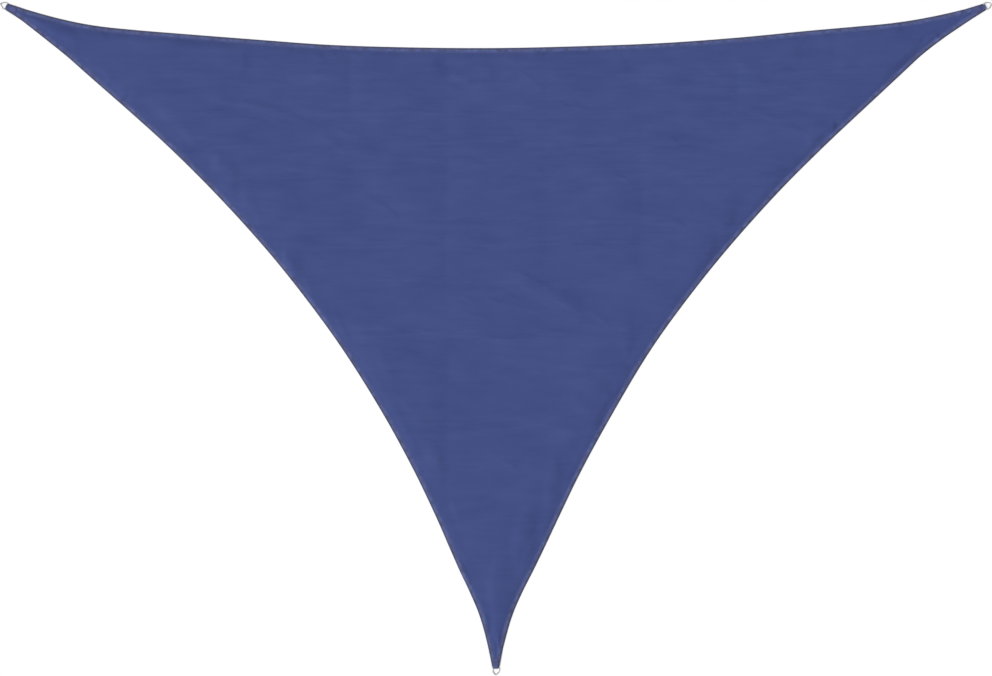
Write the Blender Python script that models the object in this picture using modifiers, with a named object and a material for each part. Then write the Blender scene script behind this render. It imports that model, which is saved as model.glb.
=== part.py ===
"""A triangular shade sail laid out flat: one cloth, its edge webbing, corner loops and D-rings.

X runs along the long side, +Y points from the lower corner to the long side, and the floor is at Z = 0.
The lengths are in metres.
"""

from collections import namedtuple
from math import acos, asin, ceil, cos, floor, pi, radians, sin, tan

import bpy
from mathutils import Vector
from mathutils.geometry import delaunay_2d_cdt, intersect_point_line

MM = 0.001

# Overall size, measured between the tips of the rings
RING_SPAN = 6.000
RING_DROP = 4.064

# Cloth: a single layer inside, doubled along the rim by its turned hem
CLOTH_THICKNESS = 1.2 * MM
HEM_THICKNESS = 2.4 * MM
HEM_WIDTH = 38 * MM
HEM_STEP = 1.5 * MM
CORNER_WIDTH = 42 * MM
SIDE_SPACING = 0.145
FIELD_COLUMNS = 6
FIELD_ROW = 0.135

# Edge webbing, sewn on the hem a little inside the rim
WEBBING_WIDTH = 20 * MM
WEBBING_THICKNESS = 1.5 * MM
WEBBING_INSET = 5 * MM
WEBBING_END = 3 * MM
SEWN_GAP = 0.35 * MM
MITRE_GAP = 0.2 * MM

# Corner loop, folded round the ring's bar
LOOP_WIDTH = 30 * MM
LOOP_THICKNESS = 1.6 * MM
LOOP_LEG = 70 * MM
LOOP_SLOPE = 14 * MM
LOOP_STEPS = 8
BAR_CLEARANCE = 0.3 * MM
CLOTH_SETBACK = 8 * MM

# D-ring: the centre line of its wire, drawn from the bar out to the tip
WIRE_RADIUS = 2.5 * MM
RING_HALF_WIDTH = 20 * MM
RING_SHOULDER = 20 * MM
RING_PEAK = 45.7 * MM
BEND_RADIUS = 5 * MM
SHOULDER_RADIUS = 9 * MM
TIP_RADIUS = 8 * MM

# Heights of the sewn layers at a corner, from the floor up
BAR_HEIGHT = LOOP_THICKNESS + BAR_CLEARANCE + WIRE_RADIUS
CORNER_RISE = LOOP_THICKNESS + SEWN_GAP
TOP_LEG_HEIGHT = CORNER_RISE + HEM_THICKNESS + WEBBING_THICKNESS + 2 * SEWN_GAP + LOOP_THICKNESS / 2
BAR_SETBACK = WIRE_RADIUS + BAR_CLEARANCE + LOOP_THICKNESS

# Distances from the cloth's blunt end: the cloth is lifted off the loop's lower leg up to the third,
# and is back on the floor at the fourth
CORNER_STATIONS = (0.0, 0.035, 0.072, 0.110, 0.160)
LIFTED_STATION = 2
FLOOR_STATION = 3

# The corners, counter-clockwise; heading is the direction in degrees in which the ring is pulled
Corner = namedtuple("Corner", "name tip_x tip_y heading")
CORNERS = (
    Corner("bottom", 0.0, -RING_DROP / 2, -90),
    Corner("right", RING_SPAN / 2, RING_DROP / 2, 25),
    Corner("left", -RING_SPAN / 2, RING_DROP / 2, 155),
)

# The sides, counter-clockwise from the lower corner, each bowed inwards from its chord:
# the fraction of the chord, then the depth of the right, the top and the left side there
SIDES = ("right", "top", "left")
SIDE_DEPTHS = (
    (0.00, 0.000, 0.000, 0.000),
    (0.02, 0.047, 0.035, 0.037),
    (0.04, 0.087, 0.062, 0.065),
    (0.06, 0.123, 0.087, 0.092),
    (0.09, 0.158, 0.115, 0.131),
    (0.13, 0.192, 0.138, 0.173),
    (0.18, 0.241, 0.164, 0.227),
    (0.25, 0.307, 0.204, 0.297),
    (0.33, 0.362, 0.238, 0.358),
    (0.42, 0.406, 0.258, 0.404),
    (0.50, 0.412, 0.268, 0.421),
    (0.58, 0.396, 0.265, 0.417),
    (0.67, 0.354, 0.249, 0.382),
    (0.75, 0.295, 0.215, 0.327),
    (0.82, 0.232, 0.183, 0.259),
    (0.87, 0.186, 0.159, 0.201),
    (0.91, 0.149, 0.134, 0.161),
    (0.94, 0.107, 0.101, 0.124),
    (0.96, 0.073, 0.071, 0.088),
    (0.98, 0.038, 0.038, 0.046),
    (1.00, 0.000, 0.000, 0.000),
)

# Storage folds run across the cloth at an even pitch; between two of them it billows up by this much
FOLD_PITCH = 0.583
FIRST_FOLD_X = -2.624
BILLOW_HEIGHTS = (0.004, 0.004, 0.005, 0.006, 0.005, 0.006, 0.005, 0.006, 0.004, 0.004)
BILLOW_FADE = 0.11

# Creases: soft ridges, or troughs of negative height, between two points; bowed to the left of their
# run, widest half-way along, with a crest that leans to the left (positive) or to the right
Crease = namedtuple("Crease", "from_x from_y to_x to_y bow width height lean")
CREASES = (
    # middle of the cloth
    Crease(-0.04, 0.41, 0.68, 0.08, 0.060, 0.095, 0.0100, 0.10),
    Crease(0.02, 0.31, 0.36, 0.17, 0.010, 0.070, -0.0040, 0.00),
    Crease(-0.26, 0.25, 0.34, 0.13, 0.025, 0.070, 0.0050, 0.20),
    Crease(-0.82, 0.86, -0.58, 0.70, 0.020, 0.110, 0.0060, 0.50),
    Crease(0.80, 0.75, 1.17, 0.65, 0.035, 0.080, 0.0050, 0.20),
    Crease(-0.10, -0.70, 0.14, -0.81, 0.030, 0.070, 0.0045, 0.35),
    Crease(0.18, -0.49, 0.54, -0.60, 0.020, 0.080, 0.0045, 0.20),
    # below the long side
    Crease(-1.79, 1.46, -1.10, 1.31, 0.020, 0.090, 0.0055, 0.10),
    Crease(-1.60, 1.37, -1.30, 1.29, 0.010, 0.070, -0.0030, 0.00),
    Crease(-1.10, 1.27, -0.90, 1.10, 0.012, 0.070, 0.0040, 0.30),
    Crease(-0.28, 1.62, -0.13, 1.53, 0.010, 0.090, 0.0045, 0.20),
    Crease(0.14, 1.62, 0.30, 1.50, 0.010, 0.065, 0.0045, 0.35),
    Crease(1.33, 1.44, 1.77, 1.32, 0.015, 0.080, 0.0060, 0.20),
    Crease(1.44, 1.68, 1.65, 1.56, 0.015, 0.080, 0.0040, 0.20),
    # mounds along the left side
    Crease(-2.49, 1.71, -2.12, 1.44, 0.010, 0.100, 0.0035, 0.10),
    Crease(-2.10, 1.45, -1.78, 1.16, 0.015, 0.120, 0.0040, 0.20),
    Crease(-1.67, 1.14, -1.61, 0.86, 0.010, 0.150, 0.0085, 0.45),
    Crease(-1.49, 0.88, -1.36, 0.66, 0.010, 0.120, 0.0045, 0.20),
    Crease(-1.19, 0.58, -1.16, 0.38, 0.010, 0.110, 0.0065, 0.35),
    Crease(-1.00, 0.22, -0.92, -0.02, 0.010, 0.090, 0.0035, 0.20),
    Crease(-0.72, -0.03, -0.62, -0.30, 0.010, 0.110, 0.0045, 0.20),
    Crease(-0.52, -0.40, -0.42, -0.63, 0.010, 0.110, 0.0060, 0.20),
    Crease(-0.41, -0.60, -0.34, -0.92, 0.012, 0.120, 0.0090, 0.45),
    Crease(-0.26, -0.95, -0.20, -1.15, 0.005, 0.090, 0.0035, 0.20),
    # mounds along the right side
    Crease(1.95, 1.33, 1.94, 1.15, 0.005, 0.220, 0.0080, 0.30),
    Crease(1.46, 0.82, 1.38, 0.68, 0.005, 0.100, 0.0045, 0.30),
    Crease(1.24, 0.66, 1.20, 0.42, 0.005, 0.240, 0.0090, 0.15),
    Crease(0.80, 0.18, 0.80, -0.05, 0.005, 0.120, 0.0045, 0.30),
    Crease(0.61, -0.26, 0.56, -0.50, 0.005, 0.240, 0.0065, 0.15),
    Crease(0.36, -0.72, 0.32, -0.99, 0.005, 0.140, 0.0065, 0.20),
    Crease(0.16, -1.03, 0.13, -1.34, 0.005, 0.150, 0.0085, 0.20),
    # pleats drawn into the corners
    Crease(0.02, -1.40, 0.01, -1.78, 0.000, 0.090, 0.0085, 0.20),
    Crease(-2.75, 1.89, -2.48, 1.80, 0.005, 0.030, 0.0050, 0.00),
    Crease(-2.70, 1.84, -2.50, 1.72, 0.000, 0.026, 0.0040, 0.00),
    Crease(2.75, 1.89, 2.50, 1.80, -0.005, 0.030, 0.0050, 0.00),
    Crease(2.70, 1.84, 2.52, 1.73, 0.000, 0.026, 0.0040, 0.00),
)
CREASE_STEP = 0.070
CREASE_MARGIN = 0.035
FLANK_MARGIN = 0.008
SHOULDERED_WIDTH = 0.055
RIM_MARGIN = 0.045
MITRE_MARGIN = 0.015

CLOTH_BLUE = (0.060, 0.082, 0.227)
WEBBING_BLUE = (0.107, 0.120, 0.292)
STEEL_GREY = (0.620, 0.620, 0.630)


def ramp(value):
    """A smooth step from 0 to 1."""
    value = min(max(value, 0.0), 1.0)
    return value * value * (3 - 2 * value)


def direction(degrees):
    return Vector((cos(radians(degrees)), sin(radians(degrees))))


def turned_left(vector):
    return Vector((-vector.y, vector.x))


# ---- The rings' centre line

def fillet(before, vertex, after, radius, steps):
    """Points of the arc that rounds one vertex of a polygon."""
    inward = (before - vertex).normalized()
    onward = (after - vertex).normalized()
    half_angle = acos(inward.dot(onward)) / 2
    centre = vertex + (inward + onward).normalized() * radius / sin(half_angle)
    tangent_length = radius / tan(half_angle)
    start = vertex + inward * tangent_length - centre
    sweep = pi - 2 * half_angle
    return [centre + rotated(start, sweep * step / steps) for step in range(steps + 1)]


def rotated(vector, angle):
    return Vector((
        vector.x * cos(angle) - vector.y * sin(angle),
        vector.x * sin(angle) + vector.y * cos(angle),
    ))


def ring_centre_line():
    """The closed line of the wire, counter-clockwise, with the bar along X at y = 0 and the tip at +Y."""
    polygon = (
        (RING_HALF_WIDTH, 0.0, BEND_RADIUS, 4),
        (RING_HALF_WIDTH, RING_SHOULDER, SHOULDER_RADIUS, 3),
        (0.0, RING_PEAK, TIP_RADIUS, 5),
        (-RING_HALF_WIDTH, RING_SHOULDER, SHOULDER_RADIUS, 3),
        (-RING_HALF_WIDTH, 0.0, BEND_RADIUS, 4),
    )
    line = []
    for index, (x, y, radius, steps) in enumerate(polygon):
        before = Vector(polygon[index - 1][:2])
        after = Vector(polygon[(index + 1) % len(polygon)][:2])
        line += fillet(before, Vector((x, y)), after, radius, steps)
    return line


RING_LINE = ring_centre_line()
RING_REACH = max(point.y for point in RING_LINE)
# The tip rests on the floor, so the ring leans down from its bar
RING_LEAN = asin((BAR_HEIGHT - WIRE_RADIUS) / RING_REACH)
TIP_REACH = RING_REACH * cos(RING_LEAN) + WIRE_RADIUS - BAR_SETBACK


# ---- The cloth's outline

def fold_point(corner):
    """Where the corner loop turns round the bar: the outermost point of its webbing."""
    return Vector((corner.tip_x, corner.tip_y)) - TIP_REACH * direction(corner.heading)


def side_ends(index):
    """The two ends of a side, at the blunt ends of the cloth's corners."""
    start, end = CORNERS[index], CORNERS[(index + 1) % len(CORNERS)]
    start_heading, end_heading = direction(start.heading), direction(end.heading)
    half_width = CORNER_WIDTH / 2
    first = fold_point(start) - CLOTH_SETBACK * start_heading + half_width * turned_left(start_heading)
    last = fold_point(end) - CLOTH_SETBACK * end_heading - half_width * turned_left(end_heading)
    return first, last


def depth(index, fraction):
    """The depth of a side at a fraction of its chord, on a smooth curve through the table's rows."""
    row = max(k for k in range(len(SIDE_DEPTHS) - 1) if SIDE_DEPTHS[k][0] <= fraction)
    low, high = SIDE_DEPTHS[row], SIDE_DEPTHS[row + 1]
    span = high[0] - low[0]

    def slope(k):
        before, after = SIDE_DEPTHS[max(k - 1, 0)], SIDE_DEPTHS[min(k + 1, len(SIDE_DEPTHS) - 1)]
        return (after[index + 1] - before[index + 1]) / (after[0] - before[0])

    u = (fraction - low[0]) / span
    return (
        (1 + 2 * u) * (1 - u) ** 2 * low[index + 1]
        + u * (1 - u) ** 2 * span * slope(row)
        + u * u * (3 - 2 * u) * high[index + 1]
        + u * u * (u - 1) * span * slope(row + 1)
    )


def side_point(index, fraction):
    first, last = side_ends(index)
    chord = last - first
    return first + chord * fraction + turned_left(chord.normalized()) * depth(index, fraction)


def side_fractions(index):
    """The stations of a side, closer together at its two corners."""
    first, last = side_ends(index)
    length = (last - first).length
    near = [distance / length for distance in CORNER_STATIONS]
    count = ceil((1 - 2 * near[-1]) * length / SIDE_SPACING)
    between = [near[-1] + (1 - 2 * near[-1]) * step / count for step in range(1, count)]
    return near + between + [1 - fraction for fraction in reversed(near)]


def inward(index, fraction, station, count):
    """The direction in which a side's hem and webbing are wide; straight across it at its corners."""
    if station <= FLOOR_STATION:
        return -turned_left(direction(CORNERS[index].heading))
    if station >= count - 1 - FLOOR_STATION:
        return turned_left(direction(CORNERS[(index + 1) % len(CORNERS)].heading))
    nudge = 0.002
    along = side_point(index, fraction + nudge) - side_point(index, fraction - nudge)
    return turned_left(along).normalized()


def side_stations(index):
    """The side's points, each with its inward direction."""
    fractions = side_fractions(index)
    return [
        (side_point(index, fraction), inward(index, fraction, station, len(fractions)))
        for station, fraction in enumerate(fractions)
    ]


STATIONS = [side_stations(index) for index in range(len(SIDES))]
OUTLINE = [point for stations in STATIONS for point, _ in stations]


def rim_distance(point):
    """How far a point lies inside the cloth's rim."""
    nearest = RING_SPAN
    for start, end in zip(OUTLINE, OUTLINE[1:] + OUTLINE[:1]):
        _, along = intersect_point_line(point, start, end)
        foot = start.lerp(end, min(max(along, 0.0), 1.0))
        nearest = min(nearest, (point - foot).length)
    return nearest


# ---- The cloth's heights

def billow(point):
    bay = (point.x - FIRST_FOLD_X) / FOLD_PITCH
    across = bay - floor(bay)
    return BILLOW_HEIGHTS[floor(bay) % len(BILLOW_HEIGHTS)] * 4 * across * (1 - across)


def crease_frame(crease):
    start = Vector((crease.from_x, crease.from_y))
    run = Vector((crease.to_x, crease.to_y)) - start
    return start, run, turned_left(run.normalized())


def crease_half_width(crease, along):
    return crease.width / 2 * sin(pi * along) ** 0.6


def crease_height(crease, point):
    start, run, left = crease_frame(crease)
    along = (point - start).dot(run) / run.length_squared
    if not 0 < along < 1:
        return 0.0
    aside = (point - start).dot(left) - crease.bow * 4 * along * (1 - along)
    beyond = aside / crease_half_width(crease, along) - crease.lean
    spread = beyond / (1 - crease.lean) if beyond > 0 else -beyond / (1 + crease.lean)
    if spread >= 1:
        return 0.0
    return crease.height * sin(pi * along) ** 0.7 * (1 + cos(pi * spread)) / 2


def corner_rise(point):
    """The lift over the lower legs of the corner loops."""
    rise = 0.0
    for corner in CORNERS:
        behind = (fold_point(corner) - point).dot(direction(corner.heading)) - CLOTH_SETBACK
        lifted, landed = CORNER_STATIONS[LIFTED_STATION], CORNER_STATIONS[FLOOR_STATION]
        share = (landed - behind) / (landed - lifted)
        rise = max(rise, CORNER_RISE * min(share, 1.0))
    return rise


def underside(point):
    """The height of the cloth's lower face above the floor."""
    inside = rim_distance(point) - HEM_WIDTH - HEM_STEP
    if inside <= MM:
        return corner_rise(point)
    creases = sum(crease_height(crease, point) for crease in CREASES)
    height = creases * ramp(inside / RIM_MARGIN) + billow(point) * ramp(inside / BILLOW_FADE)
    return max(height, corner_rise(point), 0.0)


# ---- Objects

def make_material(name, colour, roughness, metallic=0.0):
    material = bpy.data.materials.new(name)
    material.use_nodes = True
    shader = material.node_tree.nodes["Principled BSDF"]
    shader.inputs["Base Color"].default_value = (*colour, 1.0)
    shader.inputs["Roughness"].default_value = roughness
    shader.inputs["Metallic"].default_value = metallic
    return material


def add_object(name, data, material, collection, parent):
    data.materials.clear()
    data.materials.append(material)
    item = bpy.data.objects.new(name, data)
    item.parent = parent
    collection.objects.link(item)
    return item


def add_thickness(item, thickness, offset):
    solidify = item.modifiers.new("thickness", "SOLIDIFY")
    solidify.thickness = thickness
    solidify.offset = offset
    solidify.use_even_offset = True
    return solidify


class Drawing:
    """Points and lines of the cloth, from which its triangles are made."""

    def __init__(self):
        self.points = []
        self.lines = []

    def add_line(self, points, closed=False):
        first = len(self.points)
        self.points += points
        last = len(self.points) - 1
        self.lines += [(k, k + 1) for k in range(first, last)]
        if closed:
            self.lines.append((last, first))


def mitre_point(corner, inset):
    """The point on a corner's centre line that lies at one distance from the rim."""
    nearest, farthest = 0.0, 1.0
    for _ in range(24):
        middle = (nearest + farthest) / 2
        point = fold_point(corner) - (CLOTH_SETBACK + middle) * direction(corner.heading)
        if rim_distance(point) < inset:
            nearest = middle
        else:
            farthest = middle
    return point


def hem_loop(inset):
    """The closed line at one distance inside the rim, with a mitre at each corner."""
    mitres = [mitre_point(corner, inset) for corner in CORNERS]
    loop = []
    for mitre, stations in zip(mitres, STATIONS):
        loop.append(mitre)
        for point, inwards in stations:
            inner = point + inwards * inset
            clear = all((inner - other).length > MITRE_MARGIN for other in mitres)
            if clear and rim_distance(inner) > inset - MM / 2:
                loop.append(inner)
    return loop


def crease_spreads(crease):
    """Where a crease's feet and shoulders run, in half widths to the left of its middle line."""
    if crease.width < SHOULDERED_WIDTH:
        return -1, 1
    return -1, (crease.lean - 1) / 2, (crease.lean + 1) / 2, 1


def crease_lines(crease):
    """The crest of a crease, then its shoulders and feet, which meet the crest at both ends."""
    start, run, left = crease_frame(crease)
    steps = max(4, ceil(run.length / CREASE_STEP))
    crest, flanks = [], [[] for _ in crease_spreads(crease)]
    for step in range(steps + 1):
        along = step / steps
        middle = start + run * along + left * crease.bow * 4 * along * (1 - along)
        half = left * crease_half_width(crease, along) if 0 < step < steps else left * 0.0
        crest.append(middle + half * crease.lean)
        if 0 < step < steps:
            for flank, spread in zip(flanks, crease_spreads(crease)):
                flank.append(middle + half * spread)
    return crest, [flank for flank in flanks if clear_of_hem(flank)]


def clear_of_hem(line):
    return all(inside_outline(point) and rim_distance(point) > HEM_WIDTH + FLANK_MARGIN for point in line)


def field_points(drawn):
    """An even field of points between the drawn lines, in columns that include the storage folds."""
    column_width = FOLD_PITCH / FIELD_COLUMNS
    columns = ceil(RING_SPAN / column_width)
    rows = ceil(RING_DROP / FIELD_ROW)
    points = []
    for column in range(columns):
        for row in range(rows):
            point = Vector((FIRST_FOLD_X + column * column_width, RING_DROP / 2 - row * FIELD_ROW))
            if not inside_outline(point) or rim_distance(point) < HEM_WIDTH + RIM_MARGIN:
                continue
            if all((point - other).length > CREASE_MARGIN for other in drawn):
                points.append(point)
    return points


def inside_outline(point):
    crossings = 0
    for start, end in zip(OUTLINE, OUTLINE[1:] + OUTLINE[:1]):
        if (start.y > point.y) != (end.y > point.y):
            reach = start.x + (end.x - start.x) * (point.y - start.y) / (end.y - start.y)
            crossings += reach > point.x
    return crossings % 2 == 1


def draw_cloth():
    drawing = Drawing()
    drawing.add_line(OUTLINE, closed=True)
    drawing.lines += corner_cross_lines()
    drawing.add_line(hem_loop(HEM_WIDTH), closed=True)
    drawing.add_line(hem_loop(HEM_WIDTH + HEM_STEP), closed=True)
    for crease in CREASES:
        crest, flanks = crease_lines(crease)
        first = len(drawing.points)
        drawing.add_line(crest)
        last = len(drawing.points) - 1
        for flank in flanks:
            flank_start = len(drawing.points)
            drawing.add_line(flank)
            drawing.lines += [(first, flank_start), (len(drawing.points) - 1, last)]
    drawing.points += field_points(drawing.points)
    return drawing


def corner_cross_lines():
    """Lines straight across each corner, where the cloth starts and ends its rise over the loop."""
    lines = []
    end = 0
    for stations in STATIONS:
        start, end = end, end + len(stations)
        for station in range(1, FLOOR_STATION + 1):
            lines.append(((start + station) % len(OUTLINE), (start - 1 - station) % len(OUTLINE)))
    return lines


def make_cloth(collection, parent):
    drawing = draw_cloth()
    rim = [list(range(len(OUTLINE)))]
    flat_points, _, triangles, *_ = delaunay_2d_cdt(drawing.points, drawing.lines, rim, 1, 0.05 * MM)
    mesh = bpy.data.meshes.new("sail_cloth")
    mesh.from_pydata([(*point, underside(point)) for point in flat_points], [], triangles)
    cloth = add_object("sail_cloth", mesh, make_material("knitted_cloth", CLOTH_BLUE, 0.85), collection, parent)
    hem = cloth.vertex_groups.new(name="hem")
    hem_reach = HEM_WIDTH + HEM_STEP / 2
    hem.add([k for k, point in enumerate(flat_points) if rim_distance(point) < hem_reach], 1.0, "REPLACE")
    solidify = add_thickness(cloth, HEM_THICKNESS, 1.0)
    solidify.vertex_group = hem.name
    solidify.thickness_vertex_group = CLOTH_THICKNESS / HEM_THICKNESS


def webbing_width(point, inwards, corner):
    """The full width, or as much of it as there is up to the corner's centre line."""
    across = turned_left(direction(corner.heading))
    beyond = abs((point - fold_point(corner)).dot(across)) - MITRE_GAP
    closing = abs(inwards.dot(across))
    return min(WEBBING_WIDTH, beyond / closing)


def make_webbing(index, material, collection, parent):
    """One strip along a side, from the centre line of one corner to that of the next."""
    stations = STATIONS[index]
    first, last = stations[0], stations[-1]
    trimmed_start = (first[0] + (stations[1][0] - first[0]).normalized() * WEBBING_END, first[1])
    trimmed_end = (last[0] + (stations[-2][0] - last[0]).normalized() * WEBBING_END, last[1])
    points = []
    for number, (point, inwards) in enumerate([trimmed_start, *stations[1:-1], trimmed_end]):
        near = CORNERS[index] if number < len(stations) / 2 else CORNERS[(index + 1) % len(CORNERS)]
        outer = point + inwards * WEBBING_INSET
        inner = outer + inwards * webbing_width(outer, inwards, near)
        for edge in (outer, inner):
            points.append((*edge, corner_rise(edge) + HEM_THICKNESS + SEWN_GAP))
    faces = [(k, k + 2, k + 3, k + 1) for k in range(0, len(points) - 2, 2)]
    mesh = bpy.data.meshes.new(f"edge_webbing_{SIDES[index]}")
    mesh.from_pydata(points, [], faces)
    strip = add_object(mesh.name, mesh, material, collection, parent)
    add_thickness(strip, WEBBING_THICKNESS, 1.0)


def loop_path():
    """The middle of the folded webbing: the lower leg, the turn round the bar and the upper leg."""
    turn_radius = WIRE_RADIUS + BAR_CLEARANCE + LOOP_THICKNESS / 2
    path = [(-LOOP_LEG, LOOP_THICKNESS / 2)]
    for step in range(LOOP_STEPS + 1):
        angle = pi * (step / LOOP_STEPS - 0.5)
        path.append((turn_radius * cos(angle) - BAR_SETBACK, BAR_HEIGHT + turn_radius * sin(angle)))
    path.append((-BAR_SETBACK - LOOP_SLOPE, TOP_LEG_HEIGHT))
    path.append((-LOOP_LEG, TOP_LEG_HEIGHT))
    return path


def loop_mesh():
    half = LOOP_WIDTH / 2
    points = [(side * half, y, z) for y, z in loop_path() for side in (-1, 1)]
    faces = [(k, k + 1, k + 3, k + 2) for k in range(0, len(points) - 2, 2)]
    mesh = bpy.data.meshes.new("corner_loop")
    mesh.from_pydata(points, [], faces)
    return mesh


def ring_curve():
    curve = bpy.data.curves.new("d_ring", "CURVE")
    curve.dimensions = "3D"
    curve.twist_mode = "Z_UP"
    curve.bevel_depth = WIRE_RADIUS
    curve.bevel_resolution = 2
    wire = curve.splines.new("POLY")
    wire.points.add(len(RING_LINE) - 1)
    for point, place in zip(wire.points, RING_LINE):
        point.co = (*place, 0.0, 1.0)
        point.tilt = pi / 8
    wire.use_cyclic_u = True
    return curve


def make_corners(collection, parent, webbing, steel):
    """A loop and a ring at each corner, each set by its corner's place and heading."""
    loop, ring = loop_mesh(), ring_curve()
    for corner in CORNERS:
        fold = fold_point(corner)
        bar = fold - BAR_SETBACK * direction(corner.heading)
        turn = radians(corner.heading) - pi / 2
        folded = add_object(f"corner_loop_{corner.name}", loop, webbing, collection, parent)
        folded.location = (*fold, 0.0)
        folded.rotation_euler = (0.0, 0.0, turn)
        add_thickness(folded, LOOP_THICKNESS, 0.0)
        wire = add_object(f"d_ring_{corner.name}", ring, steel, collection, parent)
        wire.location = (*bar, BAR_HEIGHT)
        wire.rotation_euler = (-RING_LEAN, 0.0, turn)


def centre_on_floor(origin, collection):
    """Moves the whole sail so that its box is centred on the world's origin."""
    bpy.context.view_layer.update()
    depsgraph = bpy.context.evaluated_depsgraph_get()
    places = [
        item.matrix_world @ vertex.co
        for item in collection.objects if item.type != "EMPTY"
        for vertex in item.evaluated_get(depsgraph).to_mesh().vertices
    ]
    for axis in (0, 1):
        values = [place[axis] for place in places]
        origin.location[axis] = -(min(values) + max(values)) / 2


def main():
    for item in list(bpy.data.objects):
        bpy.data.objects.remove(item)
    collection = bpy.data.collections.new("shade_sail")
    bpy.context.scene.collection.children.link(collection)
    origin = bpy.data.objects.new("sail_origin", None)
    collection.objects.link(origin)
    webbing = make_material("woven_webbing", WEBBING_BLUE, 0.75)
    steel = make_material("stainless_steel", STEEL_GREY, 0.28, metallic=1.0)
    make_cloth(collection, origin)
    for index in range(len(SIDES)):
        make_webbing(index, webbing, collection, origin)
    make_corners(collection, origin, webbing, steel)
    centre_on_floor(origin, collection)


main()
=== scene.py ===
"""A triangular shade sail laid out flat: knitted cloth, edge webbing, stitching, corner loops and D-rings.

X runs along the long side, +Y points from the lower corner to the long side, and the floor is at Z = 0.
The lengths are in metres.
"""

from collections import namedtuple
from math import acos, asin, ceil, cos, pi, radians, sin, tan

import bmesh
import bpy
import numpy as np
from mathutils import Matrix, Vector
from mathutils.geometry import delaunay_2d_cdt


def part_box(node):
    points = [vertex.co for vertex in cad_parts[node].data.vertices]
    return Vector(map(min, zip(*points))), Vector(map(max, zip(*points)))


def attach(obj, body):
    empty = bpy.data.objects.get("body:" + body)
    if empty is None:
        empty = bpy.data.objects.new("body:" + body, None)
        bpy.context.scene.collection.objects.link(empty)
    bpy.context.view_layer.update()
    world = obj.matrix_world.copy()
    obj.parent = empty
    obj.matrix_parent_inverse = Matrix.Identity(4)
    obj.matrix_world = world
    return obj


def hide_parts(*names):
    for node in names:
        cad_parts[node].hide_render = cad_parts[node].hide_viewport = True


MM = 0.001

# Cloth: a single layer inside, doubled along the rim by its turned hem
CLOTH_THICKNESS = 1.2 * MM
HEM_THICKNESS = 2.4 * MM
HEM_WIDTH = 38 * MM
HEM_STEP = 5 * MM

# Edge webbing, sewn on the hem a little inside the rim
WEBBING_WIDTH = 20 * MM
WEBBING_INSET = 5 * MM
WEBBING_END = 3 * MM
SEWN_GAP = 0.35 * MM
MITRE_GAP = 0.2 * MM
# Its stitches press it flat
PRESSED_THICKNESS = 1.2 * MM
PRESSED_GAP = 0.05 * MM

# Corner loop, folded round the ring's bar
LOOP_WIDTH = 30 * MM
LOOP_THICKNESS = 1.6 * MM
LOOP_END_THICKNESS = 0.6 * MM
LOOP_LEG = 70 * MM
LOOP_SLOPE = 14 * MM
BAR_CLEARANCE = 0.3 * MM
LEG_GAP = 0.15 * MM
CLOTH_SETBACK = 8 * MM
LOOP_LEG_POINTS = 12
LOOP_TURN_POINTS = 25
LOOP_SLOPE_POINTS = 8

# D-ring: the centre line of its wire, drawn from the bar out to the tip
WIRE_RADIUS = 2.5 * MM
RING_HALF_WIDTH = 20 * MM
RING_SHOULDER = 20 * MM
RING_PEAK = 45.7 * MM
# The radius and the steps of its roundings
BAR_BEND = (5 * MM, 10)
SHOULDER_BEND = (9 * MM, 8)
TIP_BEND = (8 * MM, 14)
WIRE_FACETS = 20

# Heights of the sewn layers at a corner, from the floor up
BAR_HEIGHT = LOOP_THICKNESS + BAR_CLEARANCE + WIRE_RADIUS
CORNER_RISE = LOOP_THICKNESS + SEWN_GAP
WEBBING_TOP = CORNER_RISE + HEM_THICKNESS + PRESSED_GAP + PRESSED_THICKNESS
TOP_LEG_HEIGHT = WEBBING_TOP + LEG_GAP + LOOP_THICKNESS / 2
BAR_SETBACK = WIRE_RADIUS + BAR_CLEARANCE + LOOP_THICKNESS

# Distances behind the cloth's blunt ends: up to the first the cloth lies on the loop's lower leg,
# at the second it is back on the floor, and at the third its sides have turned to their own run
LIFTED_REACH = 72 * MM
LANDED_REACH = 110 * MM
TURNED_REACH = 160 * MM

# Stitches
STITCH_LENGTH = 5 * MM
STITCH_GAP = 0.7 * MM
THREAD_WIDTH = 0.9 * MM
THREAD_HEIGHT = 0.45 * MM
STITCH_SCATTER = 0.12 * MM
STITCH_SINK = 0.1 * MM
ROW_MARGIN = 3 * MM
ROW_END_POINTS = 6
HEM_ROW_INSET = 35.4 * MM
# The two sections of a stitch, the width of its top and the dip of its ends, as shares
THREAD_SECTIONS = (0.22, 0.78)
THREAD_TOP = 0.6
THREAD_DIP = 0.2
# The box of stitches on a loop lies between these distances behind the fold
LOOP_BOX = (26 * MM, 66 * MM)

# Points of the cloth's mesh
RIM_SPACING = 12 * MM
RIM_ROWS = tuple(inset * MM for inset in (0.35, 1.2, 6, 15, 24, 29, 34, 38, 42, 48, 57, 67, 78))
FIELD_SPACING = 21 * MM
CREASE_SPACING = 14 * MM
CREASE_SPREADS = (-1, -0.66, -0.38, -0.16, 0, 0.16, 0.38, 0.66, 1)
CREASE_MARGIN = 9 * MM
CREASE_END_WIDTH = 0.4
LEAST_SPACING = 5 * MM
RIM_TOLERANCE = 0.02 * MM
MERGE_DISTANCE = 0.01 * MM

# Reading the solid's rim: the decimals of a place, and the normal of a face that looks down
PLACE_DECIMALS = 5
DOWNWARD = -0.5

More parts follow.
